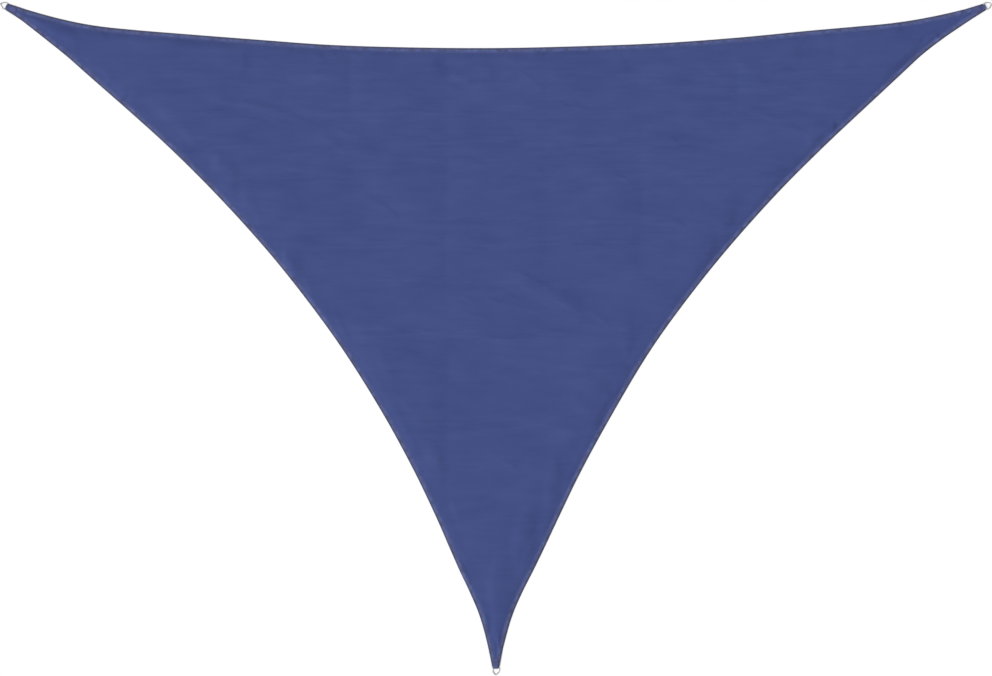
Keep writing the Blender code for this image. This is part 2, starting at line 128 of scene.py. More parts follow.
# The cloth billows up between storage folds at an even pitch, each pressed in by its own share of the billow
FOLD_PITCH = 0.583
FIRST_FOLD_X = -2.624
FOLD_DEPTHS = (0.3, 0.3, 0.6, 0.8, 1.0, 0.5, 1.1, 1.0, 0.4, 0.3)
BILLOW_HEIGHT = 4.5 * MM
BILLOW_FADE = 0.06
RIM_MARGIN = 0.035

# The creases are drawn from the middle between the rings' tips, which lies here in the frame
DRAWING_SHIFT_Y = -0.0052

# Creases: soft ridges, or troughs of negative height, between two points; bowed to the left of their
# run, widest half-way along, with a crest that leans to the left (positive) or to the right
Crease = namedtuple("Crease", "from_x from_y to_x to_y bow width height lean")
CREASES = [Crease(*row) for row in (
    # middle of the cloth
    (-0.06, 0.41, 0.34, 0.30, 0.020, 0.090, 0.0050, 0.20),
    (0.06, 0.36, 0.74, 0.05, 0.045, 0.110, 0.0065, -0.50),
    (0.02, 0.31, 0.36, 0.17, 0.010, 0.070, -0.0035, 0.00),
    (-0.26, 0.25, 0.34, 0.13, 0.025, 0.070, 0.0040, 0.00),
    (-0.82, 0.86, -0.58, 0.70, 0.020, 0.110, 0.0045, 0.35),
    (0.80, 0.75, 1.17, 0.65, 0.035, 0.080, 0.0050, 0.20),
    (-0.10, -0.70, 0.16, -0.81, 0.030, 0.090, 0.0035, -0.10),
    (0.18, -0.49, 0.54, -0.60, 0.020, 0.080, 0.0050, 0.00),
    # below the long side
    (-1.78, 1.47, -1.08, 1.31, 0.025, 0.090, 0.0080, -0.20),
    (-1.60, 1.37, -1.30, 1.29, 0.010, 0.070, -0.0030, 0.00),
    (-1.10, 1.27, -0.90, 1.10, 0.012, 0.090, 0.0030, 0.00),
    (-0.28, 1.62, -0.13, 1.53, 0.010, 0.090, 0.0045, -0.20),
    (0.14, 1.62, 0.30, 1.50, 0.010, 0.070, 0.0040, 0.25),
    (1.33, 1.44, 1.77, 1.32, 0.015, 0.080, 0.0055, -0.30),
    (1.44, 1.68, 1.65, 1.56, 0.015, 0.090, 0.0035, -0.20),
    # mounds along the left side
    (-2.49, 1.71, -2.12, 1.44, 0.010, 0.100, 0.0035, 0.10),
    (-2.10, 1.45, -1.78, 1.16, 0.015, 0.120, 0.0045, 0.00),
    (-1.00, 0.22, -0.92, -0.02, 0.010, 0.090, 0.0035, 0.00),
    (-0.72, -0.03, -0.62, -0.30, 0.010, 0.110, 0.0040, 0.00),
    (-0.54, -0.36, -0.42, -0.62, 0.010, 0.150, 0.0050, -0.10),
    (-0.43, -0.60, -0.33, -0.92, 0.012, 0.160, 0.0065, 0.00),
    (-0.26, -0.95, -0.20, -1.15, 0.005, 0.090, 0.0035, 0.00),
    # mounds along the right side
    (1.95, 1.33, 1.94, 1.13, 0.005, 0.220, 0.0095, 0.25),
    (1.40, 0.82, 1.35, 0.62, 0.005, 0.150, 0.0060, 0.20),
    (1.25, 0.72, 1.19, 0.42, 0.005, 0.320, 0.0135, 0.00),
    (0.79, 0.16, 0.78, -0.12, 0.005, 0.150, 0.0045, 0.00),
    (0.62, -0.22, 0.56, -0.50, 0.005, 0.300, 0.0105, 0.00),
    (0.37, -0.70, 0.31, -1.01, 0.005, 0.160, 0.0070, 0.00),
    (0.19, -1.00, 0.15, -1.39, 0.005, 0.200, 0.0095, -0.10),
    # short pleats below the long side's hem
    (-1.56, 1.75, -1.54, 1.60, 0.000, 0.120, 0.0035, 0.20),
    (-1.09, 1.74, -1.07, 1.57, 0.000, 0.120, 0.0045, 0.20),
    (-0.39, 1.73, -0.37, 1.58, 0.000, 0.120, 0.0040, 0.20),
    (-0.09, 1.74, -0.04, 1.58, 0.000, 0.140, 0.0045, 0.10),
    (0.74, 1.74, 0.76, 1.55, 0.000, 0.140, 0.0050, 0.20),
    (1.79, 1.80, 1.79, 1.64, 0.000, 0.130, 0.0045, 0.20),
    (2.26, 1.84, 2.24, 1.68, 0.000, 0.150, 0.0045, 0.10),
    # pleats drawn into the corners
    (-2.75, 1.89, -2.48, 1.80, 0.005, 0.030, 0.0050, 0.00),
    (-2.70, 1.84, -2.50, 1.72, 0.000, 0.026, 0.0040, 0.00),
    (2.75, 1.89, 2.50, 1.80, -0.005, 0.030, 0.0050, 0.00),
    (2.70, 1.84, 2.52, 1.73, 0.000, 0.026, 0.0040, 0.00),
    # fainter creases
    (-1.15, 1.28, -0.66, 1.22, -0.005, 0.050, 0.0045, -0.10),
    (-0.80, 1.23, -0.28, 1.20, 0.005, 0.045, 0.0035, 0.00),
    (-0.88, 0.78, -0.68, 0.73, 0.015, 0.060, 0.0030, 0.20),
    (-0.35, 1.54, -0.20, 1.47, 0.010, 0.060, 0.0030, 0.35),
    (0.30, 1.42, 0.66, 1.36, 0.010, 0.045, 0.0025, 0.15),
    (1.27, 1.38, 1.47, 1.35, 0.010, 0.060, -0.0030, 0.00),
    (1.17, 1.62, 1.38, 1.56, 0.010, 0.080, -0.0030, 0.10),
    (1.70, 1.30, 1.93, 1.22, 0.005, 0.070, 0.0035, 0.20),
    (-2.02, 1.23, -1.86, 1.21, 0.005, 0.050, 0.0020, 0.00),
    (-0.24, 0.17, 0.02, 0.09, 0.010, 0.060, 0.0030, 0.10),
    (-0.62, 0.07, -0.40, 0.02, 0.010, 0.050, -0.0025, 0.00),
    (0.66, 0.98, 0.86, 0.93, 0.010, 0.060, 0.0025, 0.20),
    (0.96, 1.24, 1.13, 1.17, 0.010, 0.060, 0.0025, 0.20),
)]

# Pleats that also run across the sewn hem
HEM_PLEATS = [Crease(*row) for row in (
    (-2.85, 1.945, -2.46, 1.79, 0.004, 0.100, 0.0085, 0.15),
    (-2.395, 1.495, -2.315, 1.595, 0.000, 0.050, 0.0060, 0.00),
    (-2.310, 1.415, -2.225, 1.505, 0.000, 0.060, 0.0065, 0.00),
    (-1.70, 1.14, -1.59, 0.86, 0.010, 0.200, 0.0110, 0.30),
    (-1.54, 0.95, -1.42, 0.72, 0.010, 0.150, 0.0075, -0.10),
    (-1.27, 0.58, -1.19, 0.38, 0.010, 0.130, 0.0080, -0.35),
    (-0.22, -1.33, -0.15, -1.50, 0.000, 0.060, 0.0080, -0.30),
    (-0.07, -1.63, -0.04, -1.80, 0.000, 0.050, 0.0075, -0.20),
    (0.055, -1.28, 0.035, -1.82, 0.000, 0.220, 0.0120, -0.40),
    (2.03, 1.34, 2.00, 1.19, 0.000, 0.100, 0.0090, 0.20),
    (1.90, 1.84, 1.80, 1.79, 0.000, 0.050, 0.0035, 0.00),
    (2.45, 1.87, 2.36, 1.83, 0.000, 0.050, 0.0035, 0.00),
    (2.70, 1.86, 2.55, 1.75, 0.000, 0.060, 0.0055, 0.20),
    (2.64, 1.83, 2.58, 1.81, 0.000, 0.050, 0.0030, 0.00),
    (2.699, 1.777, 2.657, 1.839, 0.000, 0.044, 0.0080, -0.30),
    (2.796, 2.008, 2.808, 1.944, 0.000, 0.040, 0.0075, 0.30),
    (0.032, -1.77, 0.020, -1.91, 0.000, 0.040, 0.0060, -0.20),
)]

# Smooth noise makes the cloth uneven. A noise is given by the length and width of its cells, and its seed
NOISE_TABLE = 128

# The creases vary in height, and wander from their lines by layers of a reach, a cell and a seed
WANDER_LAYERS = ((0.014, 0.12, 31), (0.006, 0.045, 33))
UNEVENNESS = 0.45
UNEVEN_NOISE = (0.09, 0.09, 35)

# Broad swells that the creases ride on, each a height and its noise, shorter ones near the rim, and the
# slack that lifts the cloth off the floor inside its webbing
SWELLS = ((4.0 * MM, 0.42, 0.42, 3), (3.6 * MM, 0.19, 0.12, 4), (1.5 * MM, 0.10, 0.045, 5))
RIM_SWELLS = ((3.0 * MM, 0.11, 0.09, 6),)
RIM_SWELL_FADE = 0.16
SLACK_HEIGHT = 3.5 * MM
SLACK_MARGIN = 0.024
SLACK_FADE = 0.17
# The slack is higher beside the rim than in the middle: by how much, up to which distance, and its fall
RIM_SLACK_HEIGHT = 3.5 * MM
RIM_SLACK_REACH = 0.16
RIM_SLACK_FADE = 0.30
# Above the first height the cloth rises less and less, and it never reaches their sum
EASY_HEIGHT = 13 * MM
TAUT_HEIGHT = 9 * MM

# Billows, stronger near the long side
TOP_BILLOW_FROM = 1.42
TOP_BILLOW_RISE = 0.20
TOP_BILLOW_GAIN = 1.1
BILLOW_SHARPNESS = 3.0
BILLOW_NOISE = (0.45, 0.17, 37)
BILLOW_SHARE = 0.85
BILLOW_UNEVENNESS = 1.5
FOLD_SWAY = 10 * MM
FOLD_SWAY_NOISE = (0.30, 0.13, 39)

# Low waves and puckers of the sewn hem
HEM_WAVE_HEIGHT = 1.6 * MM
HEM_WAVE_NOISE = (0.11, 1.0, 7)
PUCKER_HEIGHT = 4.0 * MM
PUCKER_NOISE = (0.045, 0.055, 9)
PUCKER_FADE = 0.060
# The single cloth comes out of the hem level with its top, and sinks over this distance
HEM_SINK = 0.09

CLOTH_BLUE = (0.0410, 0.0605, 0.1886)
# Painted shade: the darker, greyer colour of the rim's turned fold, standing for the shade that the fold
# lies in
RIM_SHADE_BLUE = (0.0470, 0.0520, 0.0950)
# The webbing's outer zone, its very edges, its middle, and the cooler patches of its middle
WEBBING_BLUES = (
    (0.0660, 0.0720, 0.1500), (0.0560, 0.0700, 0.1850), (0.0740, 0.0880, 0.2150), (0.0620, 0.0860, 0.2250),
)
# Painted light: the cloth just inside the webbing is painted paler, between these distances from the rim,
# against the shade that the webbing's edge casts there
SEAM_LIGHT_BLUE = (0.0640, 0.0850, 0.2250)
SEAM_LIGHT_FADE = (27 * MM, 35 * MM)
SEAM_LIGHT_PATCH = 50 * MM
# The painted shade on the rim's fold fades out over this distance either side of the webbing's outer edge
RIM_SHADE_FADE = 2 * MM
LOOP_BLUE = (0.0640, 0.0770, 0.1960)
THREAD_BLUE = (0.0480, 0.0640, 0.1750)
STEEL_GREY = (0.50, 0.50, 0.51)
FLOOR_WHITE = (0.85, 0.85, 0.85)

# One step of tone: what is added to a blue to lighten it evenly
TONE_STEP = (0.0016, 0.0019, 0.0033)
TONE_REACH = 6

# The usual range of a fine noise, and of the level streaks' softer one
NOISE_RANGE = (0.3, 0.7)
STREAK_RANGE = (0.25, 0.75)

# Knit: its columns and rows, its darkest and lightest tone, and its fibres
WALE_PITCH = 3.6 * MM
COURSE_PITCH = 2.4 * MM
KNIT_TONES = (-0.3, 0.8)
KNIT_FIBRE = 1.5 * MM
# Layers of level streaks and of clouds: their length, their height and their reach in tone steps
STREAKS = ((0.17, 17 * MM, 1.5), (0.08, 12 * MM, 1.3), (0.32, 36 * MM, 2.2))
CLOUDS = ((0.35, 0.22, 1.4), (0.20, 0.07, 1.4))
# Where the knit is streaky: the height of a band on the sail, and how far it reaches up and down
STREAK_BANDS = (
    (1.58, 0.12), (1.36, 0.05), (1.17, 0.10), (0.98, 0.07), (0.70, 0.05), (0.57, 0.05), (0.35, 0.05),
    (0.02, 0.07), (-0.20, 0.03), (-0.56, 0.09), (-0.75, 0.03), (-1.07, 0.05), (-1.28, 0.04),
)
STREAK_PATCHES = (0.45, 0.12, 41)
LEAST_STREAKINESS = 0.25

# Webbing: its ribs and chevrons, and where across it its middle ends and its outer zone fades
RIB_PITCH = 1.5 * MM
CHEVRON_PITCH = 2.2 * MM
CHEVRON_WIDTH = 4.2 * MM
CHEVRON_SHARE = 0.6
MIDDLE_FADE = (8.8 * MM, 10 * MM)
OUTER_FADE = (-7.5 * MM, -1.5 * MM)
# Its cool and worn patches, and the tones of its weave
COOL_PATCH = 70 * MM
COOL_RANGE = (0.4, 0.6)
WORN_PATCH = 35 * MM
WEAVE_TONES = (0.92, 1.08)
WEAVE_FIBRE = 1.2 * MM

# Camera straight above, framed on the width that the photograph takes in
CAMERA_HEIGHT = 12.0
CAMERA_CENTRE = (0.0015, 0.0030)
VIEW_WIDTH = 6.0056
SENSOR_WIDTH = 36.0

# Light: an even sky, and a large soft source from the left
SKY_STRENGTH = 0.65
SUN_STRENGTH = 2.69
SUN_ANGLE = 25
SUN_ZENITH = 50
SUN_BEARING = 192
FLOOR_SIZE = 200.0
FLOOR_DEPTH = 0.5 * MM

Corner = namedtuple("Corner", "name fold heading across")
Side = namedtuple("Side", "name start end points")

CORNER_NAMES = ("bottom", "right", "left")
SIDE_NAMES = ("right", "top", "left")
# The seeds of the first side's and the first corner's stitches
SIDE_SEED = 11
CORNER_SEED = 21


# ---- Small mathematics

def ramp(value):
    """A smooth step from 0 to 1."""
    value = np.clip(value, 0.0, 1.0)
    return value * value * (3 - 2 * value)


def turned_left(vectors):
    return np.stack((-vectors[..., 1], vectors[..., 0]), axis=-1)


def unit(vectors):
    return vectors / np.linalg.norm(vectors, axis=-1, keepdims=True)


def distances_along(points):
    """How far along a line each of its points lies."""
    return np.concatenate(([0], np.cumsum(np.linalg.norm(np.diff(points, axis=0), axis=1))))


def smooth_noise(x, y, cell_x, cell_y, seed):
    """Values from -1 to 1 that change smoothly over cells of one size."""
    size = NOISE_TABLE
    table = np.random.default_rng(seed).uniform(-1, 1, (size, size))
    u, v = x / cell_x, y / cell_y
    column, row = np.floor(u).astype(int), np.floor(v).astype(int)
    across, up = ramp(u - column), ramp(v - row)

    def corner(right, above):
        return table[(column + right) % size, (row + above) % size]

    low = corner(0, 0) * (1 - across) + corner(1, 0) * across
    high = corner(0, 1) * (1 - across) + corner(1, 1) * across
    return low * (1 - up) + high * up


def smooth_curve(points):
    """Points at an even spacing on a smooth curve through the given ones."""
    stations = distances_along(points)
    slopes = np.gradient(points, stations, axis=0, edge_order=2)
    places = np.linspace(0, stations[-1], ceil(stations[-1] / RIM_SPACING) + 1)
    row = np.clip(np.searchsorted(stations, places, side="right") - 1, 0, len(points) - 2)
    span = (stations[row + 1] - stations[row])[:, None]
    u = (places - stations[row])[:, None] / span
    return (
        (1 + 2 * u) * (1 - u) ** 2 * points[row]
        + u * (1 - u) ** 2 * span * slopes[row]
        + u * u * (3 - 2 * u) * points[row + 1]
        + u * u * (u - 1) * span * slopes[row + 1]
    )


# ---- The outline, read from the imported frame

def rim_of(cloth):
    """The corners of the cloth's rim, counter-clockwise, from the lower face of its solid."""
    places = [tuple(round(value, PLACE_DECIMALS) for value in vertex.co) for vertex in cloth.data.vertices]
    edges = set()
    for polygon in cloth.data.polygons:
        if polygon.normal.z < DOWNWARD:
            loop = [places[index] for index in polygon.vertices]
            edges.update(zip(loop, loop[1:] + loop[:1]))
    onward = {end: start for start, end in edges if (end, start) not in edges}
    first = min(onward)
    rim = [first]
    while onward[rim[-1]] != first:
        rim.append(onward[rim[-1]])
    return np.array(rim)[:, :2]


def read_corner(name, rim):
    """A corner, and the number of the rim's step that is its blunt end: the one nearest to its ring."""
    low, high = (np.array(corner)[:2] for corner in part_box(f"d_ring_{name}"))
    middles = (rim + np.roll(rim, -1, axis=0)) / 2
    step = int(np.argmin(np.linalg.norm(middles - (low + high) / 2, axis=1)))
    run = unit(rim[(step + 1) % len(rim)] - rim[step])
    heading = -turned_left(run)
    return Corner(name, middles[step] + CLOTH_SETBACK * heading, heading, run), step


def read_sides(rim):
    """The corners and the sides, counter-clockwise from the lower corner."""
    corners, steps = zip(*(read_corner(name, rim) for name in CORNER_NAMES))
    sides = []
    for index, name in enumerate(SIDE_NAMES):
        start, end = steps[index] + 1, steps[(index + 1) % len(steps)]
        count = (end - start) % len(rim) + 1
        points = rim[(start + np.arange(count)) % len(rim)]
        sides.append(Side(name, corners[index], corners[(index + 1) % len(corners)], points))
    return corners, sides


def smooth_rim(sides):
    """The rim as even points on smooth sides, with the blunt ends between them."""
    pieces = []
    for index, side in enumerate(sides):
        curve = smooth_curve(side.points)
        following = sides[(index + 1) % len(sides)].points[0]
        steps = ceil(np.linalg.norm(following - curve[-1]) / RIM_SPACING)
        shares = np.arange(1, steps)[:, None] / steps
        pieces += [curve, curve[-1] * (1 - shares) + following * shares]
    return np.concatenate(pieces)


class Rim:
    """The smooth rim, which gives each point's distance to it and the place along it."""

    def __init__(self, points):
        self.points = points
        self.runs = np.roll(points, -1, axis=0) - points
        self.lengths = np.linalg.norm(self.runs, axis=1)
        self.stations = np.concatenate(([0], np.cumsum(self.lengths)[:-1]))
        before = unit(np.roll(self.runs, 1, axis=0))
        self.inwards = turned_left(unit(before + unit(self.runs)))

    def nearest(self, places, chunk=1500):
        distances, stations = [], []
        for first in range(0, len(places), chunk):
            reach = places[first:first + chunk, None] - self.points[None]
            share = np.clip((reach * self.runs).sum(axis=2) / self.lengths ** 2, 0, 1)
            gaps = np.linalg.norm(reach - share[..., None] * self.runs, axis=2)
            best = gaps.argmin(axis=1)
            rows = np.arange(len(best))
            distances.append(gaps[rows, best])
            stations.append(self.stations[best] + share[rows, best] * self.lengths[best])
        return np.concatenate(distances), np.concatenate(stations)


# ---- Heights of the cloth

def crease_frame(crease):
    start = np.array((crease.from_x, crease.from_y + DRAWING_SHIFT_Y))
    run = np.array((crease.to_x - crease.from_x, crease.to_y - crease.from_y))
    return start, run, turned_left(run / np.linalg.norm(run))


def crease_half_width(crease, along):
    return crease.width / 2 * (CREASE_END_WIDTH + (1 - CREASE_END_WIDTH) * np.sin(pi * along))


def crease_height(crease, places):
    start, run, left = crease_frame(crease)
    along = (places - start) @ run / (run @ run)
    within = (along > 0) & (along < 1)
    along = np.where(within, along, 0.5)
    aside = (places - start) @ left - crease.bow * 4 * along * (1 - along)
    beyond = aside / crease_half_width(crease, along) - crease.lean
    spread = np.where(beyond > 0, beyond / (1 - crease.lean), -beyond / (1 + crease.lean))
    section = (1 + np.cos(pi * np.minimum(spread, 1))) / 2
    return np.where(within, crease.height * np.sin(pi * along) * section, 0.0)


def creased(creases, places):
    """The height that creases add, uneven along their runs."""
    x, y = places.T
    uneven = 1 + UNEVENNESS * smooth_noise(x, y, *UNEVEN_NOISE)
    drawn = wandered(places)
    return sum(crease_height(crease, drawn) for crease in creases) * uneven


def billow(places):
    """The swell between two storage folds, which is higher towards the long side."""
    x, y = places.T
    sway = FOLD_SWAY * smooth_noise(x, y, *FOLD_SWAY_NOISE)
    bay = (x + sway - FIRST_FOLD_X) / FOLD_PITCH
    fold = np.clip(np.round(bay).astype(int), 0, len(FOLD_DEPTHS) - 1)
    pressed = np.clip(1 - 2 * np.abs(bay - fold), 0, 1) ** BILLOW_SHARPNESS
    gain = 1 + TOP_BILLOW_GAIN * ramp((y - TOP_BILLOW_FROM) / TOP_BILLOW_RISE)
    uneven = BILLOW_SHARE + BILLOW_UNEVENNESS * smooth_noise(x, y, *BILLOW_NOISE)
    gain *= np.clip(uneven, 0, 2 * BILLOW_SHARE)
    return BILLOW_HEIGHT * gain * (1 - np.array(FOLD_DEPTHS)[fold] * pressed)


def swell(places, layers):
    """Low swells of several sizes."""
    return sum(height * (1 + smooth_noise(*places.T, *noise)) / 2 for height, *noise in layers)


def corner_share(places, corners):
    """1 where the cloth is sewn flat on the lower leg of a corner loop, and 0 where it lies free."""
    share = np.zeros(len(places))
    for corner in corners:
        behind = (corner.fold - places) @ corner.heading - CLOTH_SETBACK
        share = np.maximum(share, ramp((LANDED_REACH - behind) / (LANDED_REACH - LIFTED_REACH)))
    return share


def wandered(places):
    """The places moved a little, so that what is drawn with straight rules comes out uneven."""
    x, y = places.T
    moved = places.copy()
    for reach, cell, seed in WANDER_LAYERS:
        for axis in (0, 1):
            moved[:, axis] += reach * smooth_noise(x, y, cell, cell, seed + axis)
    return moved


def risen(inside):
    """The share of its slack that the cloth has at a distance inside the rim."""
    share = np.clip((inside - SLACK_MARGIN) / SLACK_FADE, 0, 1)
    return (np.sin(pi / 2 * share) + ramp(share)) / 2


def held_down(height):
    """Heights as the cloth's weight leaves them."""
    excess = np.maximum(height - EASY_HEIGHT, 0.0)
    return np.minimum(height, EASY_HEIGHT) + TAUT_HEIGHT * np.tanh(excess / TAUT_HEIGHT)


def underside(places, inside, station, corners):
    """The height of the cloth's lower face above the floor."""
    free = inside - HEM_WIDTH - HEM_STEP
    creases = creased(CREASES, places) * ramp(free / RIM_MARGIN)
    pleats = creased(HEM_PLEATS, places) * ramp(inside / HEM_STEP)
    near_rim = ramp(inside / HEM_WIDTH) * ramp(1 - free / PUCKER_FADE)
    slack = SLACK_HEIGHT + RIM_SLACK_HEIGHT * ramp(1 - (inside - RIM_SLACK_REACH) / RIM_SLACK_FADE)
    slack += swell(places, SWELLS) + swell(places, RIM_SWELLS) * ramp(1 - free / RIM_SWELL_FADE)
    slack *= risen(inside)
    slack += billow(places) * ramp((inside - SLACK_MARGIN) / BILLOW_FADE)
    wave = HEM_WAVE_HEIGHT * ramp(smooth_noise(station, 0 * station, *HEM_WAVE_NOISE))
    pucker = PUCKER_HEIGHT * (1 + smooth_noise(station, inside, *PUCKER_NOISE)) / 2
    over_hem = (HEM_THICKNESS - CLOTH_THICKNESS) * (1 - hem_share(inside)) * ramp(1 - free / HEM_SINK)
    height = np.maximum(creases + slack, 0.0) + near_rim * (wave + pucker) + pleats + over_hem
    sewn_flat = corner_share(places, corners)
    return held_down(height) * (1 - sewn_flat) + CORNER_RISE * sewn_flat


def rounding(inside):
    """The share of the hem's thickness at a distance inside the rim, where it is folded round."""
    turn = np.clip(1 - inside / (HEM_THICKNESS / 2), 0, 1)
    return np.sqrt(1 - turn * turn)


def hem_share(inside):
    """1 in the hem, where the cloth is doubled, and 0 inside it."""
    return ramp((HEM_WIDTH + HEM_STEP / 2 - inside) / HEM_STEP)


def thickness(inside):
    """The cloth's thickness at a distance inside the rim."""
    return (CLOTH_THICKNESS + (HEM_THICKNESS - CLOTH_THICKNESS) * hem_share(inside)) * rounding(inside)


class Surface:
    """The cloth's heights at any place in plan."""

    def __init__(self, rim, corners):
        self.rim = rim
        self.corners = corners

    def lower(self, places):
        """How far each place lies inside the rim, and the height of the cloth's lower face there."""
        inside, station = self.rim.nearest(places)
        return inside, underside(places, inside, station, self.corners)

    def hem_top(self, places):
        """The height of the doubled cloth's upper face."""
        return self.lower(places)[1] + HEM_THICKNESS


# ---- Meshes

def new_piece(name, vertices, faces, material, smooth=True):
    mesh = bpy.data.meshes.new(name)
    mesh.from_pydata([tuple(place) for place in vertices], [], faces)
    shape = bmesh.new()
    shape.from_mesh(mesh)
    bmesh.ops.recalc_face_normals(shape, faces=shape.faces)
    shape.to_mesh(mesh)
    shape.free()
    if smooth:
        mesh.shade_smooth()
    mesh.materials.append(material)
    piece = bpy.data.objects.new(name, mesh)
    bpy.context.scene.collection.objects.link(piece)
    return piece


def set_strip_uv(mesh, places):
    """A UV map whose values are metres along and across a strip."""
    layer = mesh.uv_layers.new(name="strip")
    corners = np.zeros(len(mesh.loops), dtype=np.int32)
    mesh.loops.foreach_get("vertex_index", corners)
    layer.data.foreach_set("uv", np.asarray(places, dtype=np.float32)[corners].ravel())


def tube_faces(sections, around, closed):
    """Quads between sections of equally many points, and two caps unless the tube closes on itself."""
    faces = []
    for section in range(sections if closed else sections - 1):
        first, second = section * around, (section + 1) % sections * around
        faces += [
            (first + k, first + (k + 1) % around, second + (k + 1) % around, second + k)
            for k in range(around)
        ]
    if not closed:
        faces += [tuple(range(around)), tuple(range((sections - 1) * around, sections * around))]
    return faces


# ---- Cloth

def rim_rows(rim):
    """Rows of points at set distances inside the rim."""
    rows = []
    for inset in RIM_ROWS:
        places = rim.points + rim.inwards * inset
        inside, _ = rim.nearest(places)
        rows.append(places[inside > inset - RIM_TOLERANCE])
    return np.concatenate(rows)


def crease_points(crease):
    """Rows of points along a crease, closest together at its crest."""
    start, run, left = crease_frame(crease)
    steps = ceil(np.linalg.norm(run) / CREASE_SPACING)
    along = np.linspace(0, 1, steps + 1)[1:-1, None]
    middle = start + run * along + left * crease.bow * 4 * along * (1 - along)
    half = crease_half_width(crease, along)
    places = []
    for spread in CREASE_SPREADS:
        aside = crease.lean + spread * (1 - crease.lean if spread > 0 else 1 + crease.lean)
        places.append(middle + left * half * aside)
    return np.concatenate(places)


def field_points(rim):
    """An even field of points in staggered rows."""
    low, high = rim.points.min(axis=0), rim.points.max(axis=0)
    row_pitch = FIELD_SPACING * sin(pi / 3)
    points = []
    for row in range(ceil((high[1] - low[1]) / row_pitch)):
        x = np.arange(low[0] + (row % 2) * FIELD_SPACING / 2, high[0], FIELD_SPACING)
        points.append(np.column_stack((x, np.full(len(x), low[1] + row * row_pitch))))
    return np.concatenate(points)


def inside_rim(places, rim):
    """Whether each point lies inside the rim, by counting the crossings to its right."""
    inside = np.zeros(len(places), dtype=bool)
    for (x0, y0), (x1, y1) in zip(rim.points, np.roll(rim.points, -1, axis=0)):
        if y0 != y1:
            between = (y0 > places[:, 1]) != (y1 > places[:, 1])
            reach = x0 + (x1 - x0) * (places[:, 1] - y0) / (y1 - y0)
            inside ^= between & (reach > places[:, 0])
    return inside


def clear_points(places, rim):
    """The points that lie well inside the innermost row at the rim."""
    places = places[inside_rim(places, rim)]
    inside, _ = rim.nearest(places)
    return places[inside > RIM_ROWS[-1] + LEAST_SPACING]


def thinned(places, spacing, kept=()):
    """The points that keep a spacing to those before them and to the kept ones."""
    cells = {}
    result = []
    for number, place in enumerate([*kept, *places]):
        column, row = int(place[0] // spacing), int(place[1] // spacing)
        near = [
            other
            for i in (-1, 0, 1) for j in (-1, 0, 1)
            for other in cells.get((column + i, row + j), ())
        ]
        crowded = any((place[0] - x) ** 2 + (place[1] - y) ** 2 < spacing ** 2 for x, y in near)
        if number < len(kept) or not crowded:
            cells.setdefault((column, row), []).append((place[0], place[1]))
            if number >= len(kept):
                result.append(place)
    return np.array(result)


def cloth_points(rim):
    rows = rim_rows(rim)
    creased = np.concatenate([crease_points(crease) for crease in CREASES])
    creased = thinned(clear_points(creased, rim), LEAST_SPACING)
    field = thinned(clear_points(field_points(rim), rim), CREASE_MARGIN, kept=creased)
    return np.concatenate((rim.points, rows, creased, field))


def make_cloth(surface, material):
    """One closed sheet: an upper and a lower face that share the vertices of the rim."""
    rim = surface.rim
    points = [Vector(place) for place in cloth_points(rim)]
    outline = [list(range(len(rim.points)))]
    flat, _, triangles, *_ = delaunay_2d_cdt(points, [], outline, 1, MERGE_DISTANCE)
    places = np.array([tuple(place) for place in flat])
    inside, low = surface.lower(places)
    on_rim = inside < RIM_TOLERANCE
    lower = low + HEM_THICKNESS / 2 * (1 - rounding(inside))
    upper = lower + thickness(inside)
    below = np.where(on_rim, np.arange(len(places)), len(places) + np.cumsum(~on_rim) - 1)
    vertices = [*np.column_stack((places, upper)), *np.column_stack((places, lower))[~on_rim]]
    faces = [tuple(triangle) for triangle in triangles]
    faces += [tuple(int(below[index]) for index in reversed(triangle)) for triangle in triangles]
    cloth = new_piece("sail_knit", vertices, faces, material)
    for name, values in (("inset", inside), ("streaky", streakiness(places))):
        attribute = cloth.data.attributes.new(name, "FLOAT", "POINT")
        attribute.data.foreach_set("value", np.concatenate((values, values[~on_rim])).astype(np.float32))
    return cloth


def streakiness(places):
    """How strong the knit's streaks are at each point, from 0 to 1."""
    x, y = places.T
    bands = sum(np.exp(-((y - middle) / reach) ** 2) for middle, reach in STREAK_BANDS)
    patches = (1 + smooth_noise(x, y, *STREAK_PATCHES)) / 2
    return np.clip(LEAST_STREAKINESS + (1 - LEAST_STREAKINESS) * bands * patches ** 0.5, 0, 1)


# ---- Strips of webbing

# Half of a strip's section, round its edge and in over its top: shares of its width and of its thickness
GROOVE_HEIGHT = 0.86
STRIP_BASE = ((0.465, 0.00), (0.492, 0.16))
STRIP_TOP = (
    (0.500, 0.50), (0.492, 0.84), (0.465, 1.00), (0.405, 0.98), (0.380, GROOVE_HEIGHT), (0.350, 0.97),
    (0.15, 1.02),
)
STRIP_HALF = STRIP_BASE + STRIP_TOP
# The whole section starts at the edge, above its base
STRIP_SECTION = np.roll([*((-x, z) for x, z in STRIP_HALF), *reversed(STRIP_HALF)], -len(STRIP_BASE), axis=0)


def side_frames(side):
    """Points along a side at its rim, with the direction straight in from it and how far along they lie."""
    curve = smooth_curve(side.points)
    inwards = turned_left(unit(np.gradient(curve, axis=0)))
    lengths = distances_along(curve)
    for distance, across in ((lengths, -side.start.across), (lengths[-1] - lengths, side.end.across)):
        share = ramp((distance - LIFTED_REACH) / (TURNED_REACH - LIFTED_REACH))[:, None]
        inwards = unit(inwards * share + across * (1 - share))
    return curve, inwards, lengths


def available_width(outer, inwards, corner):
    """How wide a strip can be at a corner, up to the corner's centre line."""
    beyond = np.abs((outer - corner.fold) @ corner.across) - MITRE_GAP
    return beyond / np.abs(inwards @ corner.across)


